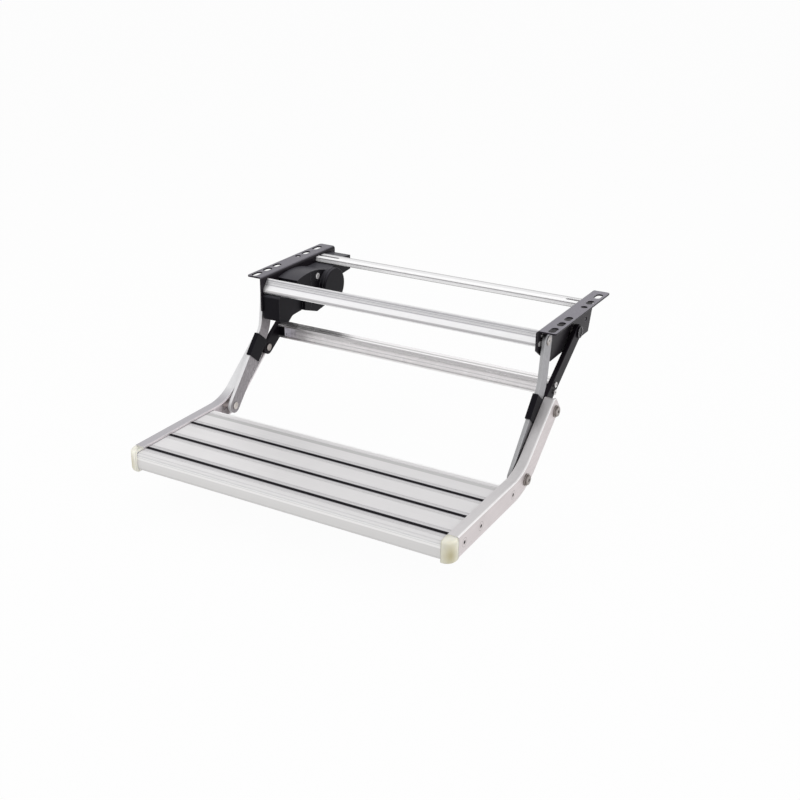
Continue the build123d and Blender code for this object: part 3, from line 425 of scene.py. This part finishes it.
# tread: a line is a colour, its weight, and the bands it lies in, each an axis, from, to and a soft edge
nosing = ("Y", -0.001, 0.004, 0.0003)
stripSideShade = (0.65, 0.64, 0.65)
# tread panel: painted shade in its narrow hollows
panelLook = {
    "colour": (0.785, 0.772, 0.778), "rough": 0.5, "metal": 0.35, "bump": 0.05, "markScale": 22.0,
    "streakScale": (2.5, 900.0, 900.0), "turn": (0, 0, 0),
    "edge": 0.0006, "edgeColour": (0.95, 0.95, 0.95), "edgeWearAndHighlight": 0.6,
    "groove": (0.42, 0.4, 0.43), "grooveReach": 0.0012, "grooveWear": 0.7,
    "corner": frontTop("tread_panel"),
    "lines": [((0.70, 0.69, 0.695), 0.6, ("X", 0.10, 0.6, 0.15)),             # right end, in less light
              (stripSideShade, 0.95, ("Y", 0.0152, 0.0343, 0.0006)),                # painted shade beside the grip strips
              (stripSideShade, 0.95, ("Y", 0.0680, 0.0870, 0.0006)),
              (stripSideShade, 0.95, ("Y", 0.1206, 0.1396, 0.0006)),
              ((0.62, 0.61, 0.62), 0.7, ("Y", 0.0018, 0.0030, 0.0003)),       # front edge
              ((0.54, 0.535, 0.535), 0.95, ("Y", 0.1636, 0.1722, 0.0006)),    # painted shade near the rear edge
              ((1, 1, 1), 0.9, ("Y", 0.1812, 0.25, 0.0008)),                  # painted highlight on the rear edge
              ((0.22, 0.21, 0.23), 0.8, ("X", -0.3, -0.2568, 0.0003)),        # painted shadow where the panel meets the left cheek
              # nosing front, from its lower face up: painted shade, deeper at the right end, then painted
              # highlights near the top edge
              ((0.775, 0.765, 0.76), 0.95, ("Z", -0.06, -0.0110, 0.0008), nosing),
              ((0.735, 0.725, 0.72), 0.8, ("Z", -0.06, -0.0175, 0.0040), nosing),
              ((0.70, 0.69, 0.685), 0.6, ("Z", -0.06, -0.0110, 0.0008), ("X", 0.08, 0.6, 0.15), nosing),
              ((0.93, 0.92, 0.915), 0.95, ("Z", -0.0110, -0.0076, 0.0006), nosing),
              ((0.82, 0.81, 0.805), 0.9, ("Z", -0.0078, -0.0064, 0.0004), nosing),
              ((1, 1, 1), 0.95, ("Z", -0.0062, -0.0040, 0.0004), nosing),
              ((0.82, 0.81, 0.81), 0.8, ("Z", -0.0036, -0.0016, 0.0004), nosing),
              ((0.66, 0.65, 0.645), 0.9, ("Z", -0.06, -0.0236, 0.0006), nosing)]}
dress(anodisedAluminium("panelAluminium", panelLook), "tread_panel")

# front and rear bar of the frame, and the channel between the rear arms
# bars: painted shade in their narrow hollows
barLook = {
    "colour": (0.93, 0.925, 0.935), "rough": 0.3, "metal": 0.65, "bump": 0.04, "markScale": 30.0,
    "streakScale": (2.0, 1200.0, 1200.0), "turn": (0, 0, 0),
    "edge": 0.0007, "edgeColour": (0.6, 0.59, 0.6), "edgeWearAndHighlight": 0.4,
    "groove": (0.4, 0.39, 0.42), "grooveReach": 0.0014, "grooveWear": 0.7}
frontBarLook = {
    **barLook, "corner": frontTop("front_bar"),
    "lines": [((0.52, 0.51, 0.54), 0.9, ("Y", 0.0117, 0.0129, 0.0003)),       # painted shade of the grooves along the top
              ((0.60, 0.59, 0.62), 0.9, ("Y", 0.0092, 0.0103, 0.0003)),
              ((0.54, 0.53, 0.56), 0.9, ("Y", 0.0057, 0.0068, 0.0003)),
              ((0.45, 0.44, 0.45), 0.9, ("Y", -0.001, 0.0010, 0.0004))]}      # painted shade on the foremost edge
rearBarLook = {
    **barLook, "colour": (0.97, 0.965, 0.97), "metal": 0.2, "corner": frontTop("rear_bar"),
    "lines": [((0.44, 0.435, 0.44), 0.9, ("Y", 0.0205, 0.03, 0.0008)),        # painted shade over the back part of the top
              ((0.74, 0.735, 0.74), 0.8, ("Y", 0.0120, 0.0205, 0.002)),
              ((0.42, 0.41, 0.42), 0.9, ("Z", -0.0023, -0.0003, 0.0003)),     # painted shade along the front
              ((0.4, 0.4, 0.39), 0.9, ("Z", -0.0090, -0.0068, 0.0004))]}
# channel: painted shade in lines along its top and its front
channelTop = ("Z", -0.001, 0.001, 0.0002)
channelFront = ("Y", -0.001, 0.005, 0.0003)
linkBarLook = {
    **barLook, "colour": (0.97, 0.955, 0.96), "metal": 0.85, "rough": 0.26, "corner": frontTop("link_bar"),
    "lines": [((0.58, 0.565, 0.57), 0.9, ("Y", 0.0073, 0.0117, 0.0012), channelTop),
              ((0.58, 0.565, 0.57), 0.9, ("Y", -0.001, 0.0026, 0.0006), channelTop),
              ((0.6, 0.585, 0.59), 0.85, ("Z", -0.0045, -0.0004, 0.0004)),
              ((0.6, 0.59, 0.59), 0.85, ("Z", -0.0210, -0.0193, 0.0003), channelFront)]}
dress(anodisedAluminium("frontBarAluminium", frontBarLook), "front_bar")
dress(anodisedAluminium("rearBarAluminium", rearBarLook), "rear_bar")
dress(anodisedAluminium("linkBarAluminium", linkBarLook), "link_bar")

# cheeks: left and right have tones of their own, painted after the photograph's light
# right: a painted highlight on the outer top edge; both: painted light in hollows, lifting their shade
rightCheekLook = {
    "colour": (0.70, 0.68, 0.687), "broadFaceTone": (0.695, 0.642, 0.646), "cloud": (0.92, 1.06), "rough": 0.46,
    "paintedOuterTop": (1.0, 0.99, 0.99), "outerFrom": (0.2716, 0.2734), "upFrom": (0.05, 0.3),
    "metal": 0.7, "bump": 0.06, "markScale": 26.0, "streakScale": (900.0, 3.0, 900.0), "turn": (0, 0, 0),
    "edge": 0.0008, "edgeColour": (0.9, 0.89, 0.89), "edgeWearAndHighlight": 0.5,
    "groove": (1.0, 0.95, 0.96), "grooveReach": 0.02, "grooveWear": 0.7,
    "rings": [(0.0062, 0.0070)], "ringColour": (0.3, 0.26, 0.26), "ringWear": 0.6, "ringSoft": 0.0003}
# left: a lit copy, paler, with painted shade on the outer part of its top
leftCheekLook = {
    **rightCheekLook, "colour": (0.82, 0.82, 0.83), "broadFaceTone": (0.8, 0.735, 0.765), "metal": 0.3,
    "paintedOuterTop": (0.455, 0.44, 0.465), "outerFrom": (0.2562, 0.2608), "upFrom": (0.82, 0.98)}
for side, look in (("left", leftCheekLook), ("right", rightCheekLook)):
    axes = rowAlongY(f"{side}_panel_screws")
    dress(anodisedAluminium(f"{side}CheekAluminium", {**look, "axes": axes}), f"{side}_cheek")

# front arms: darker and clouded on their broad faces, a painted shade, left and right after the photograph's
# light
leftArmLook = {
    "colour": (0.78, 0.775, 0.785), "broadFaceTone": (0.3, 0.278, 0.294), "cloud": (0.72, 1.3), "rough": 0.38,
    "metal": 0.15, "bump": 0.12, "markScale": 280.0,
    "streakScale": (300.0, 300.0, 120.0), "turn": (0.5, 0, 0),
    "edge": 0.0009, "edgeColour": (0.9, 0.9, 0.91), "edgeWearAndHighlight": 0.7,
    "groove": (0.015, 0.014, 0.016), "grooveReach": 0.010, "grooveWear": 0.7}
# both arms: painted shadow in the gap to the cheek, deeper and wider on the right, the shaded copy
rightArmLook = {
    **leftArmLook, "colour": (0.41, 0.41, 0.42), "broadFaceTone": (0.34, 0.336, 0.352), "cloud": (0.86, 1.14),
    "metal": 0.6, "grooveReach": 0.04, "grooveWear": 1.0}
dress(anodisedAluminium("leftArmAluminium", leftArmLook), "left_front_arm")
dress(anodisedAluminium("rightArmAluminium", rightArmLook), "right_front_arm")
print("aluminium done")

# brackets, with painted light on their flanges' tops, brighter on the right one, and rear arms
coatLook = {
    "colour": (0.007, 0.0055, 0.0075), "rough": 0.38, "shineColour": (0.96, 0.86, 1.0), "bump": 0.1,
    "peelScale": 1400.0, "wearScale": 30.0, "edge": 0.0010, "edgeColour": (0.15, 0.142, 0.162)}
leftBracketLook = {
    **coatLook, "shine": 0.16, "edgeWearAndHighlight": 0.7,
    "paintedTopColour": (0.175, 0.167, 0.192), "topFrom": (0.6, 1.0), "paintedTopWeight": 0.85}
rightBracketLook = {**leftBracketLook, "paintedTopColour": (0.235, 0.225, 0.256)}
rearArmLook = {**coatLook, "shine": 0.08, "edgeWearAndHighlight": 0.35}
dress(powderCoat("leftBracketBlack", leftBracketLook), "left_bracket")
dress(powderCoat("rightBracketBlack", rightBracketLook), "right_bracket")
dress(powderCoat("armBlack", rearArmLook), *pair("rear_arm"))

# drive housing, the front arms' sleeves, and the channel's plugs with a painted reflection at their inner
# ends
blackLook = {
    "colour": (0.006, 0.0055, 0.0075), "rough": 0.38, "shineColour": (0.94, 0.9, 1.0), "bump": 0.1,
    "grainScale": 2600.0, "driftScale": 18.0, "subsurface": 0.0, "edge": 0.0012, "edgeWearAndHighlight": 0.75}
# drive housing: painted light on its top faces
coverLook = {
    **blackLook, "shine": 0.085, "edgeColour": (0.13, 0.128, 0.14),
    "paintedTopColour": (0.07, 0.068, 0.078), "topFrom": (0.3, 0.95), "paintedTopWeight": 0.8}
sleeveLook = {**blackLook, "shine": 0.075, "edgeColour": (0.06, 0.06, 0.066)}
plugLook = {**sleeveLook, "lipAndReflection": (0.8, 0.78, 0.85), "lipAndReflectionAxis": "X", "lipAndReflectionFrom": (0.0116, 0.0128)}
dress(mouldedPlastic("driveBlack", coverLook), "drive_cover")
dress(mouldedPlastic("sleeveBlack", sleeveLook), *pair("arm_sleeve"))
for node in pair("link_plug"):
    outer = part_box(node)[0 if node.startswith("left") else 1][0]
    dress(mouldedPlastic(f"black_{node}", {**plugLook, "middle": (outer, 0, 0)}), node)

# grip strips: rubber with a pale lip along both sides
gripLook = {
    "colour": (0.006, 0.005, 0.0068), "rough": 0.6, "shine": 0.12, "shineColour": (0.94, 0.9, 1.0),
    "bump": 0.2, "grainScale": 1800.0, "driftScale": 40.0, "subsurface": 0.0,
    "edge": 0.0003, "edgeColour": (0.02, 0.02, 0.022), "edgeWearAndHighlight": 0.3,
    "lipAndReflection": (0.5, 0.49, 0.51), "lipAndReflectionAxis": "Y", "lipAndReflectionFrom": (0.0032, 0.0037)}
for node in ("grip_strip_1", "grip_strip_2", "grip_strip_3"):
    dress(mouldedPlastic(f"rubber_{node}", {**gripLook, "middle": centreOf(node)}), node)
print("black pieces done")

# bolts, studs, washers, spacers and screws
boltLook = {
    "colour": (0.36, 0.325, 0.31), "stain": (0.2, 0.17, 0.15), "rough": 0.3, "bump": 0.2,
    "ringScale": 320.0, "stainScale": 90.0,
    "edge": 0.0006, "edgeColour": (0.85, 0.82, 0.8), "edgeWearAndHighlight": 0.8,
    "recess": (0.03, 0.026, 0.025), "recessReach": 0.0022}
pinLook = {**boltLook, "colour": (0.66, 0.62, 0.6), "stain": (0.42, 0.38, 0.35)}
studLook = {
    "colour": (0.55, 0.54, 0.545), "stain": (0.3, 0.255, 0.22), "rough": 0.32, "bump": 0.15,
    "ringScale": 420.0, "stainScale": 160.0,
    "edge": 0.0004, "edgeColour": (0.75, 0.74, 0.73), "edgeWearAndHighlight": 0.6,
    "recess": (0.02, 0.02, 0.02), "recessReach": 0.002}
screwLook = {
    "colour": (0.85, 0.84, 0.84), "stain": (0.62, 0.6, 0.6), "rough": 0.26, "bump": 0.1,
    "ringScale": 420.0, "stainScale": 120.0,
    "edge": 0.0004, "edgeColour": (0.95, 0.95, 0.95), "edgeWearAndHighlight": 0.6,
    "recess": (0.03, 0.03, 0.03), "recessReach": 0.0024}
pairedLooks = {
    "cheek_bolt": boltLook, "tread_bolt": boltLook, "arm_pin": pinLook, "front_spacer": pinLook,
    "tread_spacer": boltLook, "front_stud": studLook, "front_washer": studLook, "rear_washer": studLook,
    "bar_screws": screwLook, "link_screws": screwLook}
for stem, look in pairedLooks.items():
    for node in pair(stem):
        plate("steel", look, node)

# panel screws: the middle of each head is painted black, as shade in its socket
fixingLook = {
    **boltLook, "colour": (0.72, 0.66, 0.66), "stain": (0.5, 0.45, 0.45), "edgeWearAndHighlight": 0.2,
    "recess": (0.012, 0.01, 0.01), "recessReach": 0.002,
    "rings": [(-0.001, 0.0026)], "ringColour": (0.004, 0.003, 0.003), "ringWear": 1.0, "ringSoft": 0.0003}
for node in pair("panel_screws"):
    plate("steel", {**fixingLook, "axes": rowAlongY(node)}, node)

# blackened pivot of the rear arms
pivotLook = {
    "colour": (0.022, 0.02, 0.023), "stain": (0.014, 0.013, 0.015), "rough": 0.35, "bump": 0.15,
    "ringScale": 320.0, "stainScale": 70.0,
    "edge": 0.0012, "edgeColour": (0.55, 0.53, 0.55), "edgeWearAndHighlight": 0.8,
    "recess": (0.006, 0.006, 0.006), "recessReach": 0.001}
for node in ("right_rear_bolt", "right_rear_nut", "drive_shaft"):
    plate("dark", pivotLook, node)
plate("steel", screwLook, "cover_screw")
plate("steel", boltLook, "drive_motor")
print("steel done")

# end caps of the nosing: corner pieces with a soft rim, tan towards a point inside the outer front corner
# painted shade on their tops, and the left one paler, a lit copy
capLook = {
    "colour": (0.84, 0.82, 0.70), "leftColour": (0.97, 0.95, 0.85),
    "paintedTopColour": (0.72, 0.705, 0.63), "topFrom": (0.6, 0.95), "paintedTopWeight": 0.7,
    "rough": 0.42, "shine": 0.4, "shineColour": (1, 1, 1), "bump": 0.05, "grainScale": 1500.0,
    "driftScale": 30.0, "subsurface": 0.1,
    "edge": 0.0010, "edgeColour": (0.86, 0.86, 0.8), "edgeWearAndHighlight": 0.3,
    "coreColour": (0.48, 0.42, 0.22), "coreWeight": 0.8, "coreScale": (75.0, 75.0, 42.0),
    "coreFrom": (0.1, 1.0), "coreInset": 0.005, "coreDrop": 0.004,
    "width": 0.0175, "depth": 0.019, "cornerRound": 0.0155, "cornerSteps": 12,
    "rimRound": 0.0055, "rimSteps": 6, "tolerance": 1e-6}


# edges with both ends at one place along an axis
def edgesAt(edges, axis, place):
    return [e for e in edges if all(abs(v.co[axis] - place) < capLook["tolerance"] for v in e.verts)]


for sign, node in ((-1, "left_end_cap"), (1, "right_end_cap")):
    low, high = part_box(node)
    outer = high[0] if sign > 0 else low[0]
    inner = outer - sign * capLook["width"]
    front, rear = low[1], low[1] + capLook["depth"]
    size = (capLook["width"], capLook["depth"], high[2] - low[2])
    middle = ((inner + outer) / 2, (front + rear) / 2, (low[2] + high[2]) / 2)
    shell = bmesh.new()
    bmesh.ops.create_cube(shell, size=1.0)
    bmesh.ops.scale(shell, vec=size, verts=shell.verts)
    bmesh.ops.translate(shell, vec=middle, verts=shell.verts)
    corner = edgesAt(edgesAt(shell.edges, 0, outer), 1, front)
    bmesh.ops.bevel(shell, geom=corner, offset=capLook["cornerRound"], offset_type="OFFSET",
                    segments=capLook["cornerSteps"], profile=0.5, affect="EDGES", material=-1)
    level = [e for e in shell.edges if abs(e.verts[0].co.z - e.verts[1].co.z) < capLook["tolerance"]]
    seam = edgesAt(level, 0, inner) + edgesAt(level, 1, rear)
    rim = [e for e in level if e not in seam]
    bmesh.ops.bevel(shell, geom=rim, offset=capLook["rimRound"], offset_type="OFFSET",
                    segments=capLook["rimSteps"], profile=0.5, affect="EDGES", material=-1,
                    clamp_overlap=True)
    bmesh.ops.recalc_face_normals(shell, faces=shell.faces)
    mesh = bpy.data.meshes.new(f"{node}_shell")
    shell.to_mesh(mesh)
    shell.free()
    mesh.shade_smooth()
    cap = bpy.data.objects.new(f"{node}_shell", mesh)
    bpy.context.collection.objects.link(cap)
    weigh = cap.modifiers.new("evenShading", "WEIGHTED_NORMAL")
    weigh.keep_sharp = True
    inset = capLook["coreInset"]
    core = (outer - sign * inset, front + inset, middle[2] - capLook["coreDrop"])
    place = [-c * k for c, k in zip(core, capLook["coreScale"])]
    colour = capLook["colour"] if sign > 0 else capLook["leftColour"]
    mesh.materials.append(mouldedPlastic(f"cream_{node}", {**capLook, "core": place, "colour": colour}))
    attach(cap, "tread")
    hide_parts(node)
print("end caps done")


# 1 for rays that come by way of a shiny or clear surface
def mirroredRay(tree, paths):
    return calculate(tree, "MAXIMUM", paths["Is Glossy Ray"], paths["Is Transmission Ray"])


# studio: white to the camera, dimmer overhead in the metal's reflections, softer as light
studio = {"worldLight": 0.62, "overhead": 0.55, "overheadFrom": (0.62, 0.86),
          "floorDrop": 0.06, "floorSize": 60.0, "floorTone": 0.72, "floorRough": 0.9, "floorShine": 0.0,
          "floorSeen": 0.96, "floorMirrored": 1.0}
world = bpy.data.worlds.new("studio")
bpy.context.scene.world = world
world.use_nodes = True
tree = world.node_tree
tree.nodes.clear()
output = tree.nodes.new("ShaderNodeOutputWorld")
background = tree.nodes.new("ShaderNodeBackground")
background.inputs["Color"].default_value = (1, 1, 1, 1)
paths = tree.nodes.new("ShaderNodeLightPath").outputs
direction = apart(tree, tree.nodes.new("ShaderNodeTexCoord").outputs["Generated"])
inMetal = span(tree, direction["Z"], 1.0, studio["overhead"], *studio["overheadFrom"])
unseen = mixValue(tree, mirroredRay(tree, paths), studio["worldLight"], inMetal)
strength = mixValue(tree, paths["Is Camera Ray"], unseen, 1.0)
tree.links.new(strength, background.inputs["Strength"])
tree.links.new(background.outputs["Background"], output.inputs["Surface"])

bpy.ops.mesh.primitive_plane_add(size=studio["floorSize"])
floor = bpy.context.object
floor.name = "floor"
floor.data.transform(Matrix.Translation((0, 0, cadBox[0][2] - studio["floorDrop"])))
material, tree, shader = newMaterial("floorWhite")
shader.inputs["Base Color"].default_value = (studio["floorTone"],) * 3 + (1,)
shader.inputs["Roughness"].default_value = studio["floorRough"]
shader.inputs["Specular IOR Level"].default_value = studio["floorShine"]
glow = tree.nodes.new("ShaderNodeEmission")
paths = tree.nodes.new("ShaderNodeLightPath").outputs
mirroredShare = span(tree, mirroredRay(tree, paths), 0.0, studio["floorMirrored"])
seenShare = span(tree, paths["Is Camera Ray"], 0.0, studio["floorSeen"])
mix = tree.nodes.new("ShaderNodeMixShader")
tree.links.new(calculate(tree, "MAXIMUM", mirroredShare, seenShare), mix.inputs[0])
tree.links.new(shader.outputs["BSDF"], mix.inputs[1])
tree.links.new(glow.outputs["Emission"], mix.inputs[2])
tree.links.new(mix.outputs["Shader"], tree.nodes["Material Output"].inputs["Surface"])
floor.data.materials.append(material)

lamps = {
    "keyLamp": {"place": (-1.2, -1.6, 1.7), "aim": (0, -0.25, -0.1), "size": 1.6, "power": 16.0},
    "sideLamp": {"place": (2.2, -0.8, 0.9), "aim": (0, -0.2, -0.1), "size": 1.4, "power": 12.0},
    "topLamp": {"place": (0.2, 0.3, 2.0), "aim": (0, -0.2, -0.1), "size": 1.8, "power": 12.0},
}
for name, setup in lamps.items():
    data = bpy.data.lights.new(name, "AREA")
    data.energy = setup["power"]
    data.size = setup["size"]
    lamp = bpy.data.objects.new(name, data)
    bpy.context.collection.objects.link(lamp)
    lamp.location = setup["place"]
    aim = Vector(setup["aim"]) - Vector(setup["place"])
    lamp.rotation_euler = aim.to_track_quat("-Z", "Y").to_euler()
    lamp.visible_glossy = False        # the metal mirrors the white room, not the lamps

# camera at the photograph's angle
shot = {"eye": (0.8634, -1.6370, 0.5865), "azimuth": 29.3898, "elevation": 23.4328, "roll": 0.5526,
        "lens": 52.928, "sensor": 36.0}
azimuth, elevation, roll = (math.radians(shot[k]) for k in ("azimuth", "elevation", "roll"))
reach = math.cos(elevation)
back = Vector((math.sin(azimuth) * reach, -math.cos(azimuth) * reach, math.sin(elevation)))
right = Vector((math.cos(azimuth), math.sin(azimuth), 0))
up = back.cross(right)
right, up = right * math.cos(roll) + up * math.sin(roll), up * math.cos(roll) - right * math.sin(roll)
data = bpy.data.cameras.new("shotCamera")
data.lens = shot["lens"]
data.sensor_width = shot["sensor"]
data.dof.use_dof = False
camera = bpy.data.objects.new("shotCamera", data)
bpy.context.collection.objects.link(camera)
turn = Matrix((right, up, back)).transposed().to_4x4()
camera.matrix_world = Matrix.Translation(shot["eye"]) @ turn
bpy.context.scene.camera = camera
bpy.context.scene.view_settings.view_transform = "Standard"
print("studio done")
